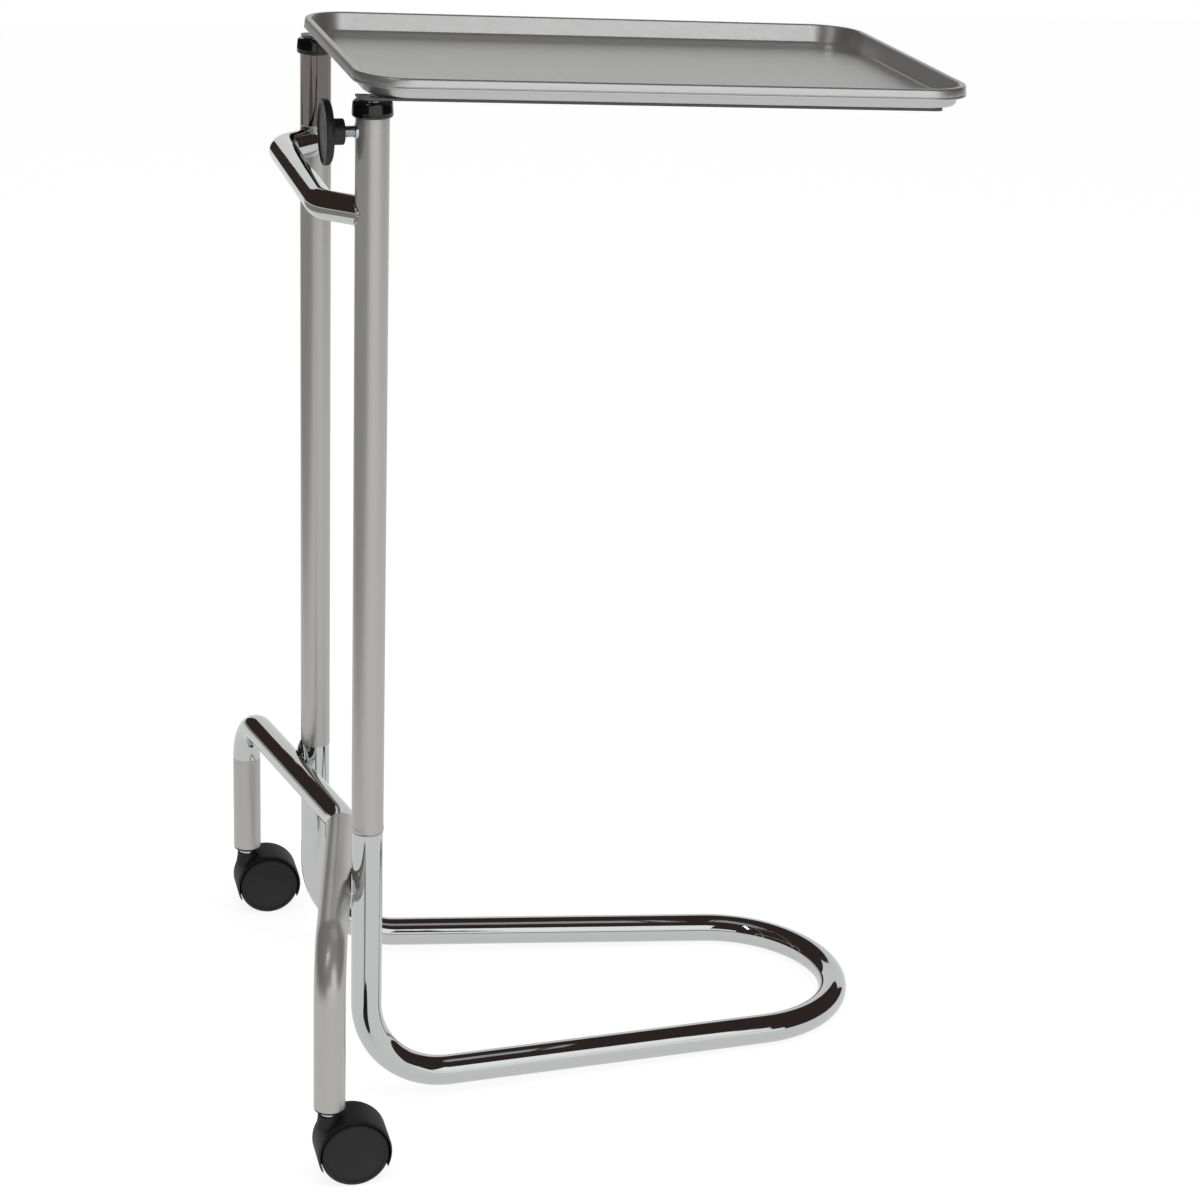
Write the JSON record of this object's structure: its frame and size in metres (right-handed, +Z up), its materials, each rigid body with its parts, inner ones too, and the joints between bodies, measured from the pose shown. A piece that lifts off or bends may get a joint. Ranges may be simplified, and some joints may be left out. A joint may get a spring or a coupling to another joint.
{
  "type": "mayo instrument stand",
  "caption": "Height adjustable mayo instrument stand: removable stainless tray on twin telescoping posts, clamp knob, push handle, floor loop and swivel castors.",
  "frame": {"origin": "centre of the object's box on the floor, under the middle of the stand and tray", "axes": "+X from the posts towards the tray's free end, +Y across the stand away from the clamp knob's post, +Z up"},
  "size_m": [0.5836, 0.59, 0.9447],
  "materials": {
    "chrome_tube": "polished chrome plating on steel tube",
    "satin_post": "satin chrome plating on steel tube",
    "stainless_tray": "satin stainless sheet",
    "frame_bar": "chrome plated flat bar",
    "cap_black": "glossy moulded black plastic",
    "knob_black": "satin moulded black plastic",
    "castor_nylon": "fine grained black nylon",
    "bush_nylon": "natural nylon",
    "zinc_steel": "bright zinc plating",
    "pad_rubber": "soft black rubber",
    "shoe_brass": "turned brass"
  },
  "bodies": {
    "stand": {"floor_loop": "chrome_tube", "castor_bridge": "chrome_tube", "push_handle": "chrome_tube", "bridge_welds": "chrome_tube", "handle_welds": "chrome_tube", "outer_post_near": "satin_post", "outer_post_far": "satin_post", "guide_bush_near": "bush_nylon", "guide_bush_far": "bush_nylon", "post_cap_near": "cap_black", "post_cap_far": "cap_black", "clamp_boss": "zinc_steel", "castor_socket_near": "castor_nylon", "castor_socket_far": "castor_nylon"},
    "lift": {"inner_tube_near": "chrome_tube", "inner_tube_far": "chrome_tube", "tube_glide_near": "bush_nylon", "tube_glide_far": "bush_nylon", "tube_plug_near": "zinc_steel", "tube_plug_far": "zinc_steel", "tray_frame": "frame_bar", "rest_pads": "pad_rubber"},
    "tray_body": {"tray": "stainless_tray"},
    "shoe": {"clamp_shoe": "shoe_brass"},
    "knob": {"clamp_knob": "knob_black", "clamp_screw": "zinc_steel"},
    "castor_near": {"castor_stem_near": "zinc_steel", "castor_hood_near": "castor_nylon", "castor_axle_near": "zinc_steel"},
    "wheel_near_left": {"castor_wheel_near_left": "castor_nylon"},
    "wheel_near_right": {"castor_wheel_near_right": "castor_nylon"},
    "castor_far": {"castor_stem_far": "zinc_steel", "castor_hood_far": "castor_nylon", "castor_axle_far": "zinc_steel"},
    "wheel_far_left": {"castor_wheel_far_left": "castor_nylon"},
    "wheel_far_right": {"castor_wheel_far_right": "castor_nylon"}
  },
  "joints": [
    {"name": "lift", "type": "slide", "parent": "stand", "child": "lift", "axis": [0, 0, 1], "range_m": [0, 0.45]},
    {"name": "tray_lift", "type": "slide", "parent": "lift", "child": "tray_body", "axis": [0, 0, 1], "range_m": [0, 0.04]},
    {"name": "clamp_slide", "type": "slide", "parent": "stand", "child": "shoe", "axis": [-1, 0, 0], "range_m": [0, 0.003]},
    {"name": "clamp_turn", "type": "hinge", "parent": "shoe", "child": "knob", "pos_m": [-0.24555, -0.1525, 0.8975], "axis": [-1, 0, 0], "range_deg": [0, 720]},
    {"name": "swivel_near", "type": "hinge", "parent": "stand", "child": "castor_near", "pos_m": [-0.27795, -0.273, 0.07], "axis": [0, 0, 1], "continuous": true},
    {"name": "roll_near_left", "type": "hinge", "parent": "castor_near", "child": "wheel_near_left", "pos_m": [-0.25795, -0.273, 0.03], "axis": [0, 1, 0], "continuous": true},
    {"name": "roll_near_right", "type": "hinge", "parent": "castor_near", "child": "wheel_near_right", "pos_m": [-0.25795, -0.273, 0.03], "axis": [0, 1, 0], "continuous": true},
    {"name": "swivel_far", "type": "hinge", "parent": "stand", "child": "castor_far", "pos_m": [-0.27795, 0.273, 0.07], "axis": [0, 0, 1], "continuous": true},
    {"name": "roll_far_left", "type": "hinge", "parent": "castor_far", "child": "wheel_far_left", "pos_m": [-0.25795, 0.273, 0.03], "axis": [0, 1, 0], "continuous": true},
    {"name": "roll_far_right", "type": "hinge", "parent": "castor_far", "child": "wheel_far_right", "pos_m": [-0.25795, 0.273, 0.03], "axis": [0, 1, 0], "continuous": true}
  ],
  "couplings": [
    {"joint": "clamp_slide", "follows": "clamp_turn", "m_per_rad": 0.00023873}
  ]
}
